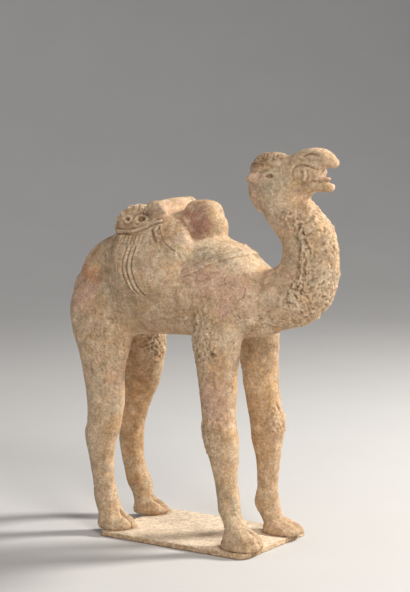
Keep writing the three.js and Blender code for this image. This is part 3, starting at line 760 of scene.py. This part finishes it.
def carve_cracks(skin):
    p = skin.points
    near = (p[:, 1] < -40) * skin.on("torso", "near_fore", "neck")
    x, z = p[:, 0] + 3 * skin.ragged + 2 * skin.grain, p[:, 2] + 4 * skin.grain
    faint = 0.4 + 0.8 * smoothstep(skin.ragged, -0.3, 0.3)
    for crack in CRACKS:
        skin.height -= near * faint * 1.5 * np.exp(-(line_distance(x, z, crack) / 0.9) ** 2)


# Folds of the head, seen from the side: line, ridge beside it, depth, width of the cut
HEAD_FOLDS = [
    ([(238, 741), (247, 745), (257, 745), (266, 742)], 1.6, 2.8, 2.0),
    ([(222, 727), (238, 735), (256, 734), (274, 730)], 0.6, 0.9, 2.4),
    ([(219, 700), (217, 712), (222, 722), (236, 725), (252, 721), (266, 716)], 1.4, 1.8, 2.2),
    ([(232, 716), (236, 708), (233, 698)], 1.0, 1.2, 2.2),
    ([(244, 716), (247, 706), (243, 698)], 1.0, 1.4, 2.0),
    ([(128, 706), (146, 711), (166, 719), (186, 724), (206, 728)], 1.2, 2.2, 4.5),
    ([(240, 693), (252, 696), (266, 695)], 0.8, 1.6, 1.8),
]
EYE_CENTRE, EYE_HALF = (170, 705), (8.5, 4.2)
UPPER_LID = [(160, 706), (166, 711), (174, 711.5), (181, 708)]


def carve_head(skin):
    """Eye, brow, nostril, groove under the crown and the folds at the mouth's corner."""
    side = smoothstep(np.abs(skin.normals[:, 1]), 0.2, 0.5)
    head = skin.on("skull", "upper_lip", "lower_lip", "crown_tuft", soft=2) * side
    x = skin.points[:, 0] + skin.ragged
    z = skin.points[:, 2] + skin.grain
    worn = 0.75 + 0.5 * skin.ragged
    for fold, ridge, depth, width in HEAD_FOLDS:
        gap = line_distance(x, z, fold)
        skin.height += head * worn * ridge * np.exp(-((gap - 2.2 * width) / (1.4 * width)) ** 2)
        skin.height -= head * worn * depth * np.exp(-(gap / width) ** 2)
    eye = np.hypot((x - EYE_CENTRE[0]) / EYE_HALF[0], (z - EYE_CENTRE[1]) / EYE_HALF[1])
    skin.height -= head * 2.6 * (1 - smoothstep(eye, 0.6, 1.15))
    skin.height += head * 1.6 * (1 - smoothstep(eye, 0, 0.6))
    skin.height += head * 2.0 * np.exp(-(line_distance(x, z, UPPER_LID) / 2.2) ** 2)
    muzzle = head * smoothstep(x, 214, 230) * (1 - smoothstep(z, 722, 728))
    skin.height += muzzle * (0.8 * skin.grain + 0.9 * skin.ragged)


def carve_feet(skin):
    """A pad with a worn rim, a faint split between two toes, and the tendons above them."""
    p = skin.points
    for name, stations in LEGS.items():
        foot = skin.on(name) * (1 - smoothstep(p[:, 2], 60, 78))
        x, y = stations[-1][0], stations[-1][1]
        ahead, across, z = p[:, 0] - x, p[:, 1] - y + 2 * skin.ragged, p[:, 2]
        front = foot * smoothstep(ahead, -16, 6)
        spread = 13 * (1 - smoothstep(z, 26, 60))
        tendons = np.exp(-((np.abs(across) - spread) / 5) ** 2) * smoothstep(z, 20, 32)
        cleft = np.exp(-(across / 3) ** 2) * (1 - smoothstep(z, 40, 56))
        groove = 2.4 if name == "near_hind" else 1.2
        skin.height += front * (2.4 * tendons - groove * cleft * smoothstep(ahead, -6, 16))
        rim = z + 3 * skin.ragged
        skin.height += foot * 0.7 * (1 - smoothstep(rim, 18, 26))
        skin.height -= foot * 0.9 * np.exp(-((rim - 28) / 3.5) ** 2)
        skin.height += foot * (0.9 * skin.ragged + 0.5 * skin.grain)


def weather(skin):
    """Uneven hand-pressed surface, worn pits and encrusted earth."""
    p = skin.points
    skin.height += 0.9 * rough_noise(p, 42, 71) + 0.5 * skin.ragged + 0.5 * skin.grain
    crust = smoothstep(rough_noise(p, 30, 73), 0, 0.4)
    fine = rough_noise(p, 4.5, 74)
    skin.height += crust * 0.9 * fine + 0.25 * fine
    skin.height -= 1.2 * smoothstep(skin.grain, 0.42, 0.65)
    legs = skin.on(*LEGS) * (p[:, 2] < 330)
    streaks = rough_noise(p * (1, 1, 0.22), 7, 76)
    skin.height += legs * 0.7 * streaks


def make_camel():
    parts = camel_parts()
    blend = blended_masses(parts)
    camel = mesh_object("camel_clay", [part[:2] for part in parts.values()] + [blend])
    apply_modifier(camel, "REMESH", mode="VOXEL", voxel_size=VOXEL)
    fill_creases(camel, 16, smoothing=0.03)
    skin = Skin(camel, parts)
    for carve in (carve_bags, carve_cloth, carve_cracks, carve_head, carve_hair, carve_feet, weather):
        carve(skin)
    points = skin.points + skin.normals * skin.height[:, None]
    low, high = (np.array(corner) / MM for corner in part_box("camel"))
    points = np.clip(points, low, high)
    points[:, 2] = np.maximum(points[:, 2], SLAB_TOP + FOOT_GAP)
    set_points(camel.data, points)
    paint_camel(camel.data, skin)
    triangles = 2 * len(camel.data.polygons)
    apply_modifier(camel, "DECIMATE", decimate_type="COLLAPSE",
                   ratio=min(1, CAMEL_TRIANGLES / triangles), use_collapse_triangulate=True)
    return camel


def make_slab():
    """The slab with rough broken edges."""
    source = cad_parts["plinth"].data
    slab = mesh_object("slab_clay", [(get_points(source) / MM, [list(f.vertices) for f in source.polygons])])
    apply_modifier(slab, "WELD", merge_threshold=1e-3)
    apply_modifier(slab, "REMESH", mode="VOXEL", voxel_size=VOXEL)
    points, normals = get_points(slab.data), get_normals(slab.data)
    edge = smoothstep(np.maximum(np.abs(points[:, 0]) - 160, np.abs(points[:, 1]) - 108), -3, 2)
    chips = smoothstep(rough_noise(points, 13, 81), 0.25, 0.7) * edge
    height = -2.4 * chips - edge * 0.9 * (1 + rough_noise(points, 5, 82))
    height += 0.25 * rough_noise(points, 12, 83) - 0.25
    points = points + normals * height[:, None]
    set_points(slab.data, points)
    triangles = 2 * len(slab.data.polygons)
    apply_modifier(slab, "DECIMATE", decimate_type="COLLAPSE",
                   ratio=min(1, SLAB_TRIANGLES / triangles), use_collapse_triangulate=True)
    return slab


# Colour laid on the skin: clay, traces of cold paint, earth and painted shade in the hollows, painted
# highlight on the ridges

BUFF = (0.60, 0.42, 0.26)
CREAM = (0.80, 0.64, 0.46)
OCHRE = (0.56, 0.33, 0.15)
GREY = (0.45, 0.40, 0.29)
PINK = (0.66, 0.40, 0.31)
ROSE = (0.46, 0.25, 0.18)
ORANGE = (0.66, 0.33, 0.16)
PURPLE = (0.30, 0.24, 0.20)
BROWN = (0.36, 0.21, 0.11)
EARTH_AND_SHADE = (0.25, 0.15, 0.08)


def mixed(colour, other, share):
    share = np.clip(share, 0, 1)[:, None]
    return colour * (1 - share) + np.asarray(other) * share


def spot(points, centre, size, ragged):
    """Soft patch of about that size, with a ragged edge."""
    away = np.linalg.norm((points - centre) / size, axis=1)
    return smoothstep(1 - away + 0.4 * ragged, 0, 0.45)


def paint_camel(mesh, skin):
    p = get_points(mesh)
    smooth = skin.height
    for _ in range(int(30 / VOXEL)):
        smooth = skin.around.mean(smooth)
    relief = skin.height - smooth
    colour = np.tile(BUFF, (len(p), 1))
    colour = mixed(colour, CREAM, smoothstep(rough_noise(p, 60, 101), -0.3, 0.5) * 0.45)
    colour = mixed(colour, OCHRE, smoothstep(rough_noise(p, 34, 102, 4), 0.0, 0.45) * 0.5)
    colour = mixed(colour, GREY, smoothstep(rough_noise(p, 22, 103, 4), 0.1, 0.5) * 0.4)
    colour = mixed(colour, PINK, smoothstep(rough_noise(p, 28, 104, 4), 0.1, 0.5) * 0.4)
    for centre, size, tone, strength in PAINT:
        colour = mixed(colour, tone, spot(p, centre, size, skin.ragged + skin.grain) * strength)
    colour = mixed(colour, BROWN, skin.on("crown_tuft", soft=3) * (0.55 + 0.4 * skin.ragged))
    blotch = smoothstep(rough_noise(p, 14, 105, 4), 0.0, 0.45)
    colour = mixed(colour, BROWN, blotch * 0.38)
    flakes = smoothstep(rough_noise(p, 10, 106, 4), 0.12, 0.45)
    colour = mixed(colour, CREAM, flakes * 0.45)
    # Hollows of the relief darkened: earth caught in them, and painted shade
    colour = mixed(colour, EARTH_AND_SHADE, smoothstep(-relief, 0.2, 1.7) * 0.85)
    # Raised relief lightened towards cream: painted highlight on the ridges
    colour = mixed(colour, CREAM, smoothstep(relief, 0.3, 1.5) * 0.5)
    set_colour(mesh, colour)


# Traces of cold paint and stains, and a streak of painted shade under the crown: centre, reach, colour,
# strength
PAINT = [
    ((110, -90, 500), (60, 60, 34), PINK, 0.5),
    ((102, -88, 460), (26, 30, 14), PINK, 0.6),
    ((60, -95, 520), (60, 50, 30), PINK, 0.4),
    ((-225, -80, 480), (48, 70, 60), PINK, 0.6),
    ((-200, -75, 513), (44, 50, 20), ORANGE, 0.8),
    ((90, -100, 290), (40, 40, 80), PINK, 0.5),
    ((96, -100, 350), (20, 30, 60), OCHRE, 0.5),
    ((8, -34, 616), (44, 30, 40), ROSE, 1.0),
    ((8, -34, 606), (36, 30, 30), ROSE, 0.8),
    ((-65, -66, 641), (20, 20, 17), PURPLE, 0.8),
    ((-18, -50, 616), (18, 20, 10), ROSE, 0.5),
    ((-100, -70, 610), (34, 30, 30), BROWN, 0.4),
    ((-90, -72, 607), (8, 20, 8), ROSE, 0.9),
    ((-121, -68, 604), (5, 20, 5), BROWN, 0.8),
    ((-44, -85, 585), (16, 30, 18), ROSE, 0.5),
    ((100, 70, 260), (60, 60, 190), OCHRE, 0.5),
    ((-210, 70, 240), (60, 60, 200), OCHRE, 0.6),
    ((-210, 70, 330), (60, 60, 120), BROWN, 0.4),
    ((230, 0, 600), (70, 60, 110), OCHRE, 0.2),
    ((240, 0, 705), (34, 30, 18), OCHRE, 0.35),
    ((262, 0, 700), (26, 18, 10), ROSE, 0.4),
    ((170, -36, 705), (9, 12, 5), ROSE, 0.9),
    ((165, -40, 685), (30, 20, 16), GREY, 0.4),
    # Brown streak along the groove under the crown tuft: painted shade, not paint
    ((185, -34, 722), (30, 20, 5), BROWN, 0.5),
    ((70, -60, 560), (80, 70, 26), GREY, 0.45),
    ((0, -70, 560), (50, 60, 40), GREY, 0.25),
]


def set_colour(mesh, colour):
    layer = mesh.color_attributes.new("tint", "FLOAT_COLOR", "POINT")
    values = np.ones((len(colour), 4), np.float32)
    values[:, :3] = np.clip(colour, 0, 1)
    layer.data.foreach_set("color", values.ravel())


def paint_slab(slab):
    mesh = slab.data
    p = get_points(mesh)
    colour = np.tile((0.80, 0.66, 0.50), (len(p), 1))
    colour = mixed(colour, BUFF, smoothstep(rough_noise(p, 50, 111), -0.2, 0.5) * 0.25)
    colour = mixed(colour, OCHRE, smoothstep(rough_noise(p, 22, 112, 4), 0.2, 0.7) * 0.2)
    sides = 1 - smoothstep(p[:, 2] + 1.5 * rough_noise(p, 7, 114), 8.5, 11)
    colour = mixed(colour, OCHRE, sides * 0.55)
    colour = mixed(colour, BROWN, sides * smoothstep(rough_noise(p, 9, 113), -0.1, 0.4) * 0.6)
    # A brown ring on the slab top round each foot: painted shade where the foot stands
    for stations in LEGS.values():
        ring = np.hypot(p[:, 0] - stations[-1][0], p[:, 1] - stations[-1][1]) / 40
        colour = mixed(colour, BROWN, (p[:, 2] > 10) * smoothstep(1.2 - ring, 0, 0.2) * 0.5)
    set_colour(mesh, colour)


# Materials

class Nodes:
    """Short names for the few shader nodes used here."""

    def __init__(self, name):
        self.material = bpy.data.materials.new(name)
        self.material.use_nodes = True
        self.tree = self.material.node_tree
        self.shader = self.tree.nodes["Principled BSDF"]
        self.place = self.tree.nodes.new("ShaderNodeTexCoord").outputs["Object"]

    def link(self, source, target):
        self.tree.links.new(source, target)

    def noise(self, size, detail=4.0, roughness=0.6, distortion=0.0):
        """Noise with lumps about `size` millimetres across."""
        node = self.tree.nodes.new("ShaderNodeTexNoise")
        self.link(self.place, node.inputs["Vector"])
        node.inputs["Scale"].default_value = 1 / (size * MM)
        node.inputs["Detail"].default_value = detail
        node.inputs["Roughness"].default_value = roughness
        node.inputs["Distortion"].default_value = distortion
        return node.outputs["Fac"]

    def ranged(self, value, low, high, to_low=0.0, to_high=1.0):
        node = self.tree.nodes.new("ShaderNodeMapRange")
        self.link(value, node.inputs["Value"])
        for key, number in (("From Min", low), ("From Max", high), ("To Min", to_low), ("To Max", to_high)):
            node.inputs[key].default_value = number
        return node.outputs["Result"]

    def mix(self, share, first, second, blend="MIX"):
        node = self.tree.nodes.new("ShaderNodeMix")
        node.data_type = "RGBA"
        node.blend_type = blend
        for value, socket in ((share, 0), (first, 6), (second, 7)):
            if isinstance(value, bpy.types.NodeSocket):
                self.link(value, node.inputs[socket])
            else:
                node.inputs[socket].default_value = value
        return node.outputs[2]

    def grey(self, value):
        node = self.tree.nodes.new("ShaderNodeCombineColor")
        for socket in ("Red", "Green", "Blue"):
            self.link(value, node.inputs[socket])
        return node.outputs["Color"]

    def math(self, operation, first, second):
        node = self.tree.nodes.new("ShaderNodeMath")
        node.operation = operation
        for value, socket in ((first, 0), (second, 1)):
            if isinstance(value, bpy.types.NodeSocket):
                self.link(value, node.inputs[socket])
            else:
                node.inputs[socket].default_value = value
        return node.outputs[0]

    def bump(self, height, depth):
        node = self.tree.nodes.new("ShaderNodeBump")
        self.link(height, node.inputs["Height"])
        node.inputs["Distance"].default_value = depth * MM
        self.link(node.outputs["Normal"], self.shader.inputs["Normal"])


def clay_material(name, speck, grain_depth):
    nodes = Nodes(name)
    tint = nodes.tree.nodes.new("ShaderNodeAttribute")
    tint.attribute_name = "tint"
    colour = tint.outputs["Color"]
    for size, dark, light in ((16, 0.80, 1.16), (4.5, 0.72, 1.22)):
        mottles = nodes.ranged(nodes.noise(size, detail=5, roughness=0.7), 0.36, 0.64, dark, light)
        colour = nodes.mix(1.0, colour, nodes.grey(mottles), "MULTIPLY")
    specks = nodes.ranged(nodes.noise(2.4, detail=3, roughness=0.75), 0.58, 0.68)
    patches = nodes.ranged(nodes.noise(26, detail=3), 0.40, 0.58)
    dark = nodes.math("MULTIPLY", nodes.math("MULTIPLY", specks, patches), speck)
    colour = nodes.mix(dark, colour, (0.17, 0.09, 0.05, 1))
    pale = nodes.ranged(nodes.noise(3.2, detail=3, roughness=0.7, distortion=0.4), 0.60, 0.72, 0, speck)
    colour = nodes.mix(pale, colour, (0.86, 0.74, 0.58, 1))
    nodes.link(colour, nodes.shader.inputs["Base Color"])
    rough = nodes.ranged(nodes.noise(14), 0.3, 0.7, 0.84, 0.98)
    nodes.link(rough, nodes.shader.inputs["Roughness"])
    nodes.shader.inputs["Specular IOR Level"].default_value = 0.25
    grain = nodes.math("ADD", nodes.noise(1.6, detail=3, roughness=0.7), nodes.noise(5, detail=5))
    nodes.bump(grain, grain_depth)
    return nodes.material


def plain_material(name, colour, roughness):
    nodes = Nodes(name)
    shade = nodes.ranged(nodes.noise(400, detail=2), 0.3, 0.7, 0.97, 1.0)
    nodes.link(nodes.mix(shade, (0, 0, 0, 1), (*colour, 1)), nodes.shader.inputs["Base Color"])
    nodes.shader.inputs["Roughness"].default_value = roughness
    return nodes.material


def to_metres(obj):
    set_points(obj.data, get_points(obj.data) * MM)


# Floor, light and camera

def make_floor():
    """Flat floor that curves up into a pale surround on every side."""
    radii = [0, 1, 2, 3, 4, 4.8, 5.6, 6.4, 7.0, 7.4, 7.6]
    heights = [0, 0, 0, 0, 0, 0.08, 0.35, 0.85, 1.6, 2.5, 3.6]
    sides = 96
    turn = np.arange(sides) * 2 * np.pi / sides
    points, faces = [], []
    for radius, height in zip(radii, heights):
        for angle in turn:
            points.append((radius * math.cos(angle), radius * math.sin(angle), height))
    for row in range(len(radii) - 1):
        for side in range(sides):
            after = (side + 1) % sides
            faces.append([row * sides + side, row * sides + after,
                          (row + 1) * sides + after, (row + 1) * sides + side])
    mesh = bpy.data.meshes.new("floor")
    mesh.from_pydata(points, [], faces)
    mesh.flip_normals()
    mesh.shade_smooth()
    floor = bpy.data.objects.new("floor", mesh)
    bpy.context.scene.collection.objects.link(floor)
    mesh.materials.append(plain_material("floor", (0.62, 0.61, 0.60), 0.8))


def aim(obj, target):
    direction = Vector(target) - obj.location
    obj.rotation_euler = direction.to_track_quat("-Z", "Y").to_euler()


def area_light(name, place, target, size, power, colour):
    light = bpy.data.lights.new(name, "AREA")
    light.shape = "DISK"
    light.size = size
    light.energy = power
    light.color = colour
    obj = bpy.data.objects.new(name, light)
    bpy.context.scene.collection.objects.link(obj)
    obj.location = place
    aim(obj, target)


def make_lights():
    area_light("key", (1.9, 2.2, 2.6), (0, 0, 0.45), 0.8, 170, (1.0, 0.97, 0.92))
    area_light("front", (2.6, -1.5, 2.3), (0, 0, 0.4), 1.3, 62, (1.0, 0.95, 0.88))
    area_light("left", (-1.8, -2.4, 1.5), (0, 0, 0.4), 1.5, 10, (1.0, 0.95, 0.90))
    world = bpy.data.worlds.new("studio")
    bpy.context.scene.world = world
    world.use_nodes = True
    world.node_tree.nodes["Background"].inputs["Color"].default_value = (0.96, 0.97, 1.0, 1)
    world.node_tree.nodes["Background"].inputs["Strength"].default_value = 0.28


CAMERA_TURN = math.radians(33.853)
CAMERA_RISE = math.radians(5.401)
CAMERA_DISTANCE = 2.9
CAMERA_AIM = (0.0033, 0.0022, 0.472)
CAMERA_LENS = 1500 / 592 * 36


def make_camera():
    back = Vector((math.sin(CAMERA_TURN) * math.cos(CAMERA_RISE),
                   -math.cos(CAMERA_TURN) * math.cos(CAMERA_RISE), math.sin(CAMERA_RISE)))
    right = Vector((0, 0, 1)).cross(back).normalized()
    up = back.cross(right)
    data = bpy.data.cameras.new("camera")
    data.sensor_fit = "VERTICAL"
    data.sensor_height = 36
    data.lens = CAMERA_LENS
    camera = bpy.data.objects.new("camera", data)
    bpy.context.scene.collection.objects.link(camera)
    place = Vector(CAMERA_AIM) + back * CAMERA_DISTANCE
    camera.matrix_world = Matrix.Translation(place) @ Matrix((right, up, back)).transposed().to_4x4()
    bpy.context.scene.camera = camera


make_camera()
make_lights()
make_floor()

camel = make_camel()
slab = make_slab()
paint_slab(slab)
for piece, node, slot, material in (
        (camel, "camel", "clay", clay_material("clay", 0.65, 1.0)),
        (slab, "plinth", "slab_clay", clay_material("slab_clay", 0.3, 0.6))):
    to_metres(piece)
    piece.data.materials.clear()
    piece.data.materials.append(material)
    piece.data.shade_smooth()
    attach(piece, "root")
    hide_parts(node)

bpy.context.scene.view_settings.view_transform = "Standard"
